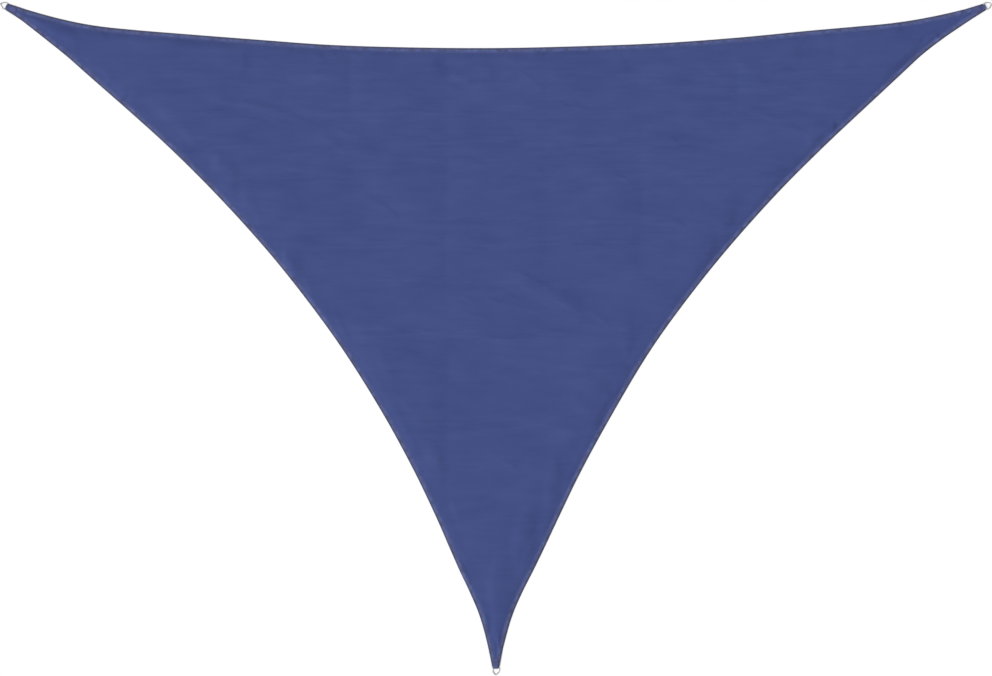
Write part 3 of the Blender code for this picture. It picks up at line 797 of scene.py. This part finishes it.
def make_webbing(side, surface, material):
    """One strip along a side, from the centre line of one corner to that of the next."""
    curve, inwards, lengths = side_frames(side)
    runs = unit(np.gradient(curve, axis=0))
    curve[0] += runs[0] * WEBBING_END
    curve[-1] -= runs[-1] * WEBBING_END
    outer = curve + inwards * WEBBING_INSET
    width = np.full(len(curve), WEBBING_WIDTH)
    for corner in (side.start, side.end):
        width = np.minimum(width, available_width(outer, inwards, corner))
    across = (STRIP_SECTION[:, 0] + 0.5)[None] * width[:, None]
    places = outer[:, None] + inwards[:, None] * across[..., None]
    flat = places.reshape(-1, 2)
    base = surface.hem_top(flat) + PRESSED_GAP
    heights = base + np.tile(STRIP_SECTION[:, 1], len(curve)) * PRESSED_THICKNESS
    around = len(STRIP_SECTION)
    faces = tube_faces(len(curve), around, closed=False)
    strip = new_piece(f"webbing_{side.name}", np.column_stack((flat, heights)), faces, material)
    centred = across - width[:, None] / 2
    set_strip_uv(strip.data, np.column_stack((np.repeat(lengths, around), centred.ravel())))
    return strip


# ---- Stitches

def stitch_mesh(starts, ends):
    """Short closed threads between two points each, pointed where they dip into the cloth."""
    run = ends - starts
    up = np.array((0.0, 0.0, 1.0))
    side = np.cross(up, unit(run)) * THREAD_WIDTH / 2
    lift = up * THREAD_HEIGHT
    dip = lift * THREAD_DIP
    sections = []
    for share in THREAD_SECTIONS:
        middle = starts + run * share
        left, right = middle + side * THREAD_TOP + lift, middle - side * THREAD_TOP + lift
        sections += [middle + side, left, right, middle - side]
    corners = np.stack((starts - dip, *sections, ends - dip), axis=1)
    shape = [(0, 1 + k, 1 + (k + 1) % 4) for k in range(4)]
    shape += [(1 + k, 5 + k, 5 + (k + 1) % 4, 1 + (k + 1) % 4) for k in range(4)]
    shape += [(9, 5 + (k + 1) % 4, 5 + k) for k in range(4)]
    faces = [tuple(10 * number + k for k in face) for number in range(len(starts)) for face in shape]
    return corners.reshape(-1, 3), faces


def stitches_between(curve, rng):
    """Even stitches along a curve in space, each a little off its place."""
    lengths = distances_along(curve)
    count = max(1, int(lengths[-1] // STITCH_LENGTH))
    marks = np.linspace(0, lengths[-1], count + 1)
    first, last = marks[:-1] + STITCH_GAP / 2, marks[1:] - STITCH_GAP / 2
    ends = []
    for stations in (first, last):
        stations = stations + rng.normal(0, STITCH_SCATTER, len(stations))
        ends.append(np.stack([np.interp(stations, lengths, curve[:, axis]) for axis in range(3)], axis=1))
    return ends


def make_stitches(name, curves, seed, material):
    rng = np.random.default_rng(seed)
    starts, ends = zip(*(stitches_between(curve, rng) for curve in curves))
    vertices, faces = stitch_mesh(np.concatenate(starts), np.concatenate(ends))
    return new_piece(name, vertices, faces, material)


def side_stitches(side, surface, seed, material):
    """Two rows through the webbing and one along the hem's inner edge."""
    curve, inwards, _ = side_frames(side)
    reach = slice(ROW_END_POINTS, -ROW_END_POINTS)
    curve, inwards = curve[reach], inwards[reach]
    rows = []
    webbing_top = PRESSED_GAP + PRESSED_THICKNESS * GROOVE_HEIGHT
    for inset, lift in (
        (WEBBING_INSET + ROW_MARGIN, webbing_top),
        (WEBBING_INSET + WEBBING_WIDTH - ROW_MARGIN, webbing_top),
        (HEM_ROW_INSET, 0.0),
    ):
        places = curve + inwards * inset
        rows.append(np.column_stack((places, surface.hem_top(places) + lift)))
    return make_stitches(f"stitches_{side.name}", rows, seed, material)


# ---- Corner loops

def loop_path():
    """The middle of the folded webbing: the lower leg, the turn round the bar and the upper leg."""
    radius = WIRE_RADIUS + BAR_CLEARANCE + LOOP_THICKNESS / 2
    path = []
    for share in np.linspace(0, 1, LOOP_LEG_POINTS)[:-1]:
        path.append((-LOOP_LEG + share * (LOOP_LEG - BAR_SETBACK), LOOP_THICKNESS / 2))
    for angle in np.linspace(-pi / 2, pi / 2, LOOP_TURN_POINTS):
        path.append((radius * cos(angle) - BAR_SETBACK, BAR_HEIGHT + radius * sin(angle)))
    turn_top = path[-1][1]
    for share in np.linspace(0, 1, LOOP_SLOPE_POINTS)[1:]:
        height = turn_top + (TOP_LEG_HEIGHT - turn_top) * float(ramp(share))
        path.append((-BAR_SETBACK - LOOP_SLOPE * share, height))
    leg_start = path[-1][0]
    for share in np.linspace(0, 1, LOOP_LEG_POINTS)[1:]:
        path.append((leg_start + share * (-LOOP_LEG - leg_start), TOP_LEG_HEIGHT))
    path[-1] = (-LOOP_LEG, WEBBING_TOP + LEG_GAP + LOOP_END_THICKNESS / 2)
    return np.array(path)


def placed(corner, local):
    """Points given across, along the heading and up from a corner's fold, in the frame."""
    local = np.asarray(local)
    flat = corner.fold + local[:, :1] * corner.across + local[:, 1:2] * corner.heading
    return np.column_stack((flat, local[:, 2]))


def make_loop(corner, material):
    path = loop_path()
    normals = turned_left(unit(np.gradient(path, axis=0)))
    lengths = distances_along(path)
    thicknesses = np.full(len(path), LOOP_THICKNESS)
    thicknesses[-1] = LOOP_END_THICKNESS
    local, uv = [], []
    for place, normal, length, thick in zip(path, normals, lengths, thicknesses):
        for share, height in STRIP_SECTION:
            y, z = place - normal * (height - 0.5) * thick
            local.append((share * LOOP_WIDTH, y, z))
            uv.append((length, share * LOOP_WIDTH))
    faces = tube_faces(len(path), len(STRIP_SECTION), closed=False)
    loop = new_piece(f"loop_{corner.name}", placed(corner, local), faces, material)
    set_strip_uv(loop.data, uv)
    return loop


def loop_stitches(corner, seed, material):
    """A box with a cross, and a bar across the webbing next to the ring."""
    half = LOOP_WIDTH / 2 - ROW_MARGIN
    near, far = (-distance for distance in LOOP_BOX)
    top = TOP_LEG_HEIGHT + LOOP_THICKNESS / 2 - STITCH_SINK
    box = [(-half, near), (half, near), (half, far), (-half, far)]
    lines = list(zip(box, box[1:] + box[:1])) + [(box[0], box[2]), (box[1], box[3])]
    lines.append(((-half, near + ROW_MARGIN), (half, near + ROW_MARGIN)))
    curves = [placed(corner, ((*start, top), (*end, top))) for start, end in lines]
    return make_stitches(f"loop_stitches_{corner.name}", curves, seed, material)


# ---- Rings

def fillet(before, vertex, after, radius, steps):
    """Points of the arc that rounds one vertex of a polygon."""
    inward = (before - vertex).normalized()
    onward = (after - vertex).normalized()
    half_angle = acos(inward.dot(onward)) / 2
    centre = vertex + (inward + onward).normalized() * radius / sin(half_angle)
    start = vertex + inward * radius / tan(half_angle) - centre
    sweep = pi - 2 * half_angle
    points = []
    for step in range(steps + 1):
        angle = sweep * step / steps
        turned = Vector((
            start.x * cos(angle) - start.y * sin(angle),
            start.x * sin(angle) + start.y * cos(angle),
        ))
        points.append(centre + turned)
    return points


def ring_centre_line():
    """The closed line of the wire, counter-clockwise, with the bar along X at y = 0 and the tip at +Y."""
    right = [(RING_HALF_WIDTH, 0.0, *BAR_BEND), (RING_HALF_WIDTH, RING_SHOULDER, *SHOULDER_BEND)]
    left = [(-x, *rest) for x, *rest in reversed(right)]
    polygon = [*right, (0.0, RING_PEAK, *TIP_BEND), *left]
    line = []
    for index, (x, y, radius, steps) in enumerate(polygon):
        before = Vector(polygon[index - 1][:2])
        after = Vector(polygon[(index + 1) % len(polygon)][:2])
        line += fillet(before, Vector((x, y)), after, radius, steps)
    return np.array([tuple(point) for point in line])


def make_ring(corner, material):
    """The wire, leaning down from its bar until its tip rests on the floor."""
    line = ring_centre_line()
    lean = asin((BAR_HEIGHT - WIRE_RADIUS) / line[:, 1].max())
    outward = -turned_left(unit(np.roll(line, -1, axis=0) - np.roll(line, 1, axis=0)))
    local = []
    for place, out in zip(line, outward):
        for step in range(WIRE_FACETS):
            angle = 2 * pi * step / WIRE_FACETS
            x, y = place + out * WIRE_RADIUS * cos(angle)
            z = WIRE_RADIUS * sin(angle)
            turned_y, turned_z = y * cos(lean) + z * sin(lean), z * cos(lean) - y * sin(lean)
            local.append((x, turned_y - BAR_SETBACK, turned_z + BAR_HEIGHT))
    faces = tube_faces(len(line), WIRE_FACETS, closed=True)
    return new_piece(f"ring_{corner.name}", placed(corner, local), faces, material)


# ---- Materials

class Shader:
    """A material's nodes, with short calls for the kinds that are used here."""

    def __init__(self, name, roughness, metallic=0.0, specular=0.5):
        self.material = bpy.data.materials.new(name)
        self.material.use_nodes = True
        self.tree = self.material.node_tree
        self.surface = self.tree.nodes["Principled BSDF"]
        finish = {"Roughness": roughness, "Metallic": metallic, "Specular IOR Level": specular}
        for socket, value in finish.items():
            self.surface.inputs[socket].default_value = value

    def node(self, kind, **settings):
        item = self.tree.nodes.new(f"ShaderNode{kind}")
        for name, value in settings.items():
            setattr(item, name, value)
        return item

    def feed(self, socket, value):
        if isinstance(value, bpy.types.NodeSocket):
            self.tree.links.new(value, socket)
        else:
            socket.default_value = value

    def math(self, operation, first, second=0.0):
        item = self.node("Math", operation=operation)
        self.feed(item.inputs[0], first)
        self.feed(item.inputs[1], second)
        return item.outputs[0]

    def place(self):
        """The place on the object, in metres."""
        return self.node("TexCoord").outputs["Object"]

    def strip_place(self):
        """Metres along and across a strip of webbing."""
        return self.node("UVMap", uv_map="strip").outputs[0]

    def axes(self, place):
        split = self.node("SeparateXYZ")
        self.feed(split.inputs[0], place)
        return split.outputs

    def attribute(self, name):
        return self.node("Attribute", attribute_name=name).outputs["Fac"]

    def noise(self, cells, detail=2.0):
        """Noise from 0 to 1, with features of one size, or of a size for each direction."""
        mapping = self.node("Mapping")
        self.feed(mapping.inputs["Vector"], self.place())
        mapping.inputs["Scale"].default_value = [1 / cell for cell in np.broadcast_to(cells, 3)]
        item = self.node("TexNoise")
        self.feed(item.inputs["Vector"], mapping.outputs[0])
        item.inputs["Scale"].default_value = 1.0
        item.inputs["Detail"].default_value = detail
        return item.outputs["Fac"]

    def span(self, value, low, high, to_low, to_high, smooth=False):
        """A value carried from one range to another."""
        item = self.node("MapRange", interpolation_type="SMOOTHSTEP" if smooth else "LINEAR")
        for socket, number in zip(item.inputs, (value, low, high, to_low, to_high)):
            self.feed(socket, number)
        return item.outputs[0]

    def varied(self, noise, low, high):
        """A noise whose usual range is carried to another."""
        return self.span(noise, *NOISE_RANGE, low, high)

    def layers(self, table, usual, detail):
        """The sum of noises, each of a length, a height and a reach in tone steps."""
        return self.total(*(
            self.span(self.noise((length, height, 1.0), detail), *usual, -steps, steps)
            for length, height, steps in table
        ))

    def wave(self, value, pitch):
        """A sine from 0 to 1 that repeats at a pitch."""
        return self.span(self.math("SINE", self.math("MULTIPLY", value, 2 * pi / pitch)), -1, 1, 0, 1)

    def mixed(self, first, second, share):
        """A colour between two others."""
        item = self.node("Mix", data_type="RGBA")
        self.feed(item.inputs["Factor"], share)
        for socket, colour in zip((item.inputs[6], item.inputs[7]), (first, second)):
            self.feed(socket, (*colour, 1.0) if isinstance(colour, tuple) else colour)
        return item.outputs[2]

    def toned(self, colour, steps):
        """A colour made lighter or darker by a number of tone steps that varies over the surface."""
        dark, light = (
            tuple(value + reach * step for value, step in zip(colour, TONE_STEP))
            for reach in (-TONE_REACH, TONE_REACH)
        )
        return self.mixed(dark, light, self.span(steps, -TONE_REACH, TONE_REACH, 0, 1))

    def tinted(self, colour, tone):
        """A colour times a tone that varies over the surface."""
        item = self.node("VectorMath", operation="SCALE")
        self.feed(item.inputs[0], colour)
        self.feed(item.inputs["Scale"], tone)
        return item.outputs[0]

    def paint(self, colour):
        self.feed(self.surface.inputs["Base Color"], colour)

    def roughen(self, noise, low, high):
        self.feed(self.surface.inputs["Roughness"], self.varied(noise, low, high))

    def total(self, *values):
        """The sum of several values."""
        result = values[0]
        for value in values[1:]:
            result = self.math("ADD", result, value)
        return result

    def bump(self, height, depth, after=None):
        item = self.node("Bump")
        item.inputs["Distance"].default_value = depth
        self.feed(item.inputs["Height"], height)
        if after is not None:
            self.feed(item.inputs["Normal"], after)
        self.feed(self.surface.inputs["Normal"], item.outputs[0])
        return item.outputs[0]


def knitted_cloth():
    """Dull knit with faint level streaks; painted light makes it a little paler just inside the webbing, and
    painted shade makes it greyer on the rim's fold.
    """
    shader = Shader("knitted_cloth", 0.8, specular=0.2)
    x, y, _ = shader.axes(shader.place())
    inset = shader.attribute("inset")
    streaks = shader.layers(STREAKS, STREAK_RANGE, detail=1.0)
    streaks = shader.math("MULTIPLY", streaks, shader.attribute("streaky"))
    clouds = shader.layers(CLOUDS, NOISE_RANGE, detail=2.0)
    wales = shader.wave(x, WALE_PITCH)
    courses = shader.wave(shader.total(y, shader.math("MULTIPLY", wales, COURSE_PITCH / 2)), COURSE_PITCH)
    knit = shader.math("MULTIPLY", wales, courses)
    steps = shader.total(streaks, clouds, shader.span(knit, 0, 1, *KNIT_TONES))
    # Painted shade: rim is 1 from the rim out to the webbing's outer edge, where the cloth takes the darker,
    # greyer rim colour
    rim = shader.span(inset, WEBBING_INSET - RIM_SHADE_FADE, WEBBING_INSET + RIM_SHADE_FADE, 1.0, 0.0, smooth=True)
    # Painted light just inside the webbing, in patches, against the shade that the webbing's edge casts
    seam_light_patches = shader.varied(shader.noise(SEAM_LIGHT_PATCH), low=0.4, high=1.0)
    seam_light = shader.math("MULTIPLY", shader.span(inset, *SEAM_LIGHT_FADE, 1.0, 0.0, smooth=True), seam_light_patches)
    inner = shader.mixed(shader.toned(CLOTH_BLUE, steps), SEAM_LIGHT_BLUE, seam_light)
    shader.paint(shader.mixed(inner, RIM_SHADE_BLUE, rim))
    fine = shader.noise(KNIT_FIBRE, detail=3.0)
    shader.roughen(fine, low=0.7, high=0.9)
    first = shader.bump(knit, depth=0.35 * MM)
    shader.bump(fine, depth=0.12 * MM, after=first)
    return shader.material


def woven_webbing(name, outer_blue, edge_blue, middle_blue, cool_blue):
    """Webbing of narrow chevrons, greyer along its outer edge than along its middle."""
    shader = Shader(name, 0.75, specular=0.25)
    along, across, _ = shader.axes(shader.strip_place())
    folded = shader.math("PINGPONG", across, CHEVRON_WIDTH)
    chevron = shader.wave(shader.math("ADD", along, folded), CHEVRON_PITCH)
    ribs = shader.wave(across, RIB_PITCH)
    shares = ((chevron, CHEVRON_SHARE), (ribs, 1 - CHEVRON_SHARE))
    weave = shader.total(*(shader.math("MULTIPLY", *share) for share in shares))
    middle = shader.span(shader.math("ABSOLUTE", across), *MIDDLE_FADE, 1.0, 0.0, smooth=True)
    cool = shader.span(shader.noise(COOL_PATCH), *COOL_RANGE, 0.0, 1.0)
    worn = shader.varied(shader.noise(WORN_PATCH, detail=3.0), low=0.68, high=1.28)
    outer = shader.span(across, *OUTER_FADE, 1.0, 0.0, smooth=True)
    colour = shader.mixed(edge_blue, shader.mixed(middle_blue, cool_blue, cool), middle)
    colour = shader.mixed(colour, outer_blue, outer)
    ribbed = shader.math("MULTIPLY", worn, shader.span(weave, 0, 1, *WEAVE_TONES))
    shader.paint(shader.tinted(colour, ribbed))
    fine = shader.noise(WEAVE_FIBRE, detail=3.0)
    shader.roughen(fine, low=0.62, high=0.85)
    first = shader.bump(weave, depth=0.4 * MM)
    shader.bump(fine, depth=0.1 * MM, after=first)
    return shader.material


def sewing_thread():
    shader = Shader("sewing_thread", 0.6, specular=0.3)
    fibres = shader.noise(0.6 * MM)
    shader.paint(shader.tinted(THREAD_BLUE, shader.varied(fibres, low=0.85, high=1.15)))
    shader.bump(fibres, depth=0.1 * MM)
    return shader.material


def stainless_steel():
    """Satin wire with smudges, and scratches along X."""
    shader = Shader("stainless_steel", 0.3, metallic=1.0)
    smudges = shader.noise(12 * MM, detail=4.0)
    scratches = shader.noise((6 * MM, 0.7 * MM, 0.7 * MM), detail=3.0)
    shader.paint(shader.tinted(STEEL_GREY, shader.varied(smudges, low=0.85, high=1.10)))
    shader.roughen(scratches, low=0.22, high=0.42)
    shader.bump(scratches, depth=0.02 * MM)
    return shader.material


def floor_paint():
    shader = Shader("floor_paint", 0.9)
    grain = shader.noise(0.4)
    shader.paint(shader.tinted(FLOOR_WHITE, shader.varied(grain, low=0.998, high=1.002)))
    return shader.material


# ---- Stage, light and camera

def make_floor():
    half = FLOOR_SIZE / 2
    corners = [(x, y, -FLOOR_DEPTH) for x, y in ((-half, -half), (half, -half), (half, half), (-half, half))]
    floor = new_piece("floor", corners, [(0, 1, 2, 3)], floor_paint(), smooth=False)
    return floor


def make_light():
    world = bpy.data.worlds.new("sky")
    world.use_nodes = True
    background = world.node_tree.nodes["Background"]
    background.inputs["Color"].default_value = (1.0, 1.0, 1.0, 1.0)
    background.inputs["Strength"].default_value = SKY_STRENGTH
    scene = bpy.context.scene
    scene.world = world
    scene.view_settings.view_transform = "Standard"
    data = bpy.data.lights.new("window", "SUN")
    data.energy = SUN_STRENGTH
    data.angle = radians(SUN_ANGLE)
    sun = bpy.data.objects.new("window", data)
    sun.rotation_euler = (0.0, radians(SUN_ZENITH), radians(SUN_BEARING))
    scene.collection.objects.link(sun)


def make_camera():
    data = bpy.data.cameras.new("camera")
    data.sensor_width = SENSOR_WIDTH
    data.lens = SENSOR_WIDTH * CAMERA_HEIGHT / VIEW_WIDTH
    camera = bpy.data.objects.new("camera", data)
    camera.location = (*CAMERA_CENTRE, CAMERA_HEIGHT)
    bpy.context.scene.collection.objects.link(camera)
    bpy.context.scene.camera = camera


def dress(piece, slot, *nodes):
    """A piece rides on the only body, and may stand for nodes of the frame, which it hides; slot is not
    used.
    """
    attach(piece, "root")
    if nodes:
        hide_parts(*nodes)
    return piece


def make_sail(floor):
    corners, sides = read_sides(rim_of(bpy.data.objects["sail_cloth"]))
    surface = Surface(Rim(smooth_rim(sides)), corners)
    edging = woven_webbing("edge_webbing", *WEBBING_BLUES)
    looping = woven_webbing("loop_webbing", *[LOOP_BLUE] * len(WEBBING_BLUES))
    thread, steel = sewing_thread(), stainless_steel()
    cloth = dress(make_cloth(surface, knitted_cloth()), "knitted_cloth", "sail_cloth")
    for seed, side in enumerate(sides, start=SIDE_SEED):
        strip = make_webbing(side, surface, edging)
        dress(strip, "woven_webbing", f"edge_webbing_{side.name}")
        dress(side_stitches(side, surface, seed, thread), "woven_webbing")
    for seed, corner in enumerate(corners, start=CORNER_SEED):
        dress(make_loop(corner, looping), "woven_webbing", f"corner_loop_{corner.name}")
        dress(loop_stitches(corner, seed, thread), "woven_webbing")
        dress(make_ring(corner, steel), "stainless_steel", f"d_ring_{corner.name}")


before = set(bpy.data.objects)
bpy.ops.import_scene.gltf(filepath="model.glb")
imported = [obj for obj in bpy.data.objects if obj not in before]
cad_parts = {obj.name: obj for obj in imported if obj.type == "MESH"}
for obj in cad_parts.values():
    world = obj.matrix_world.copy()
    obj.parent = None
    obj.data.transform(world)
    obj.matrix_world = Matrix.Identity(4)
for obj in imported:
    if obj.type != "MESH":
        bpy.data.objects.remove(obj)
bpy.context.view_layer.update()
make_camera()
make_light()
make_sail(make_floor())
bpy.context.view_layer.update()
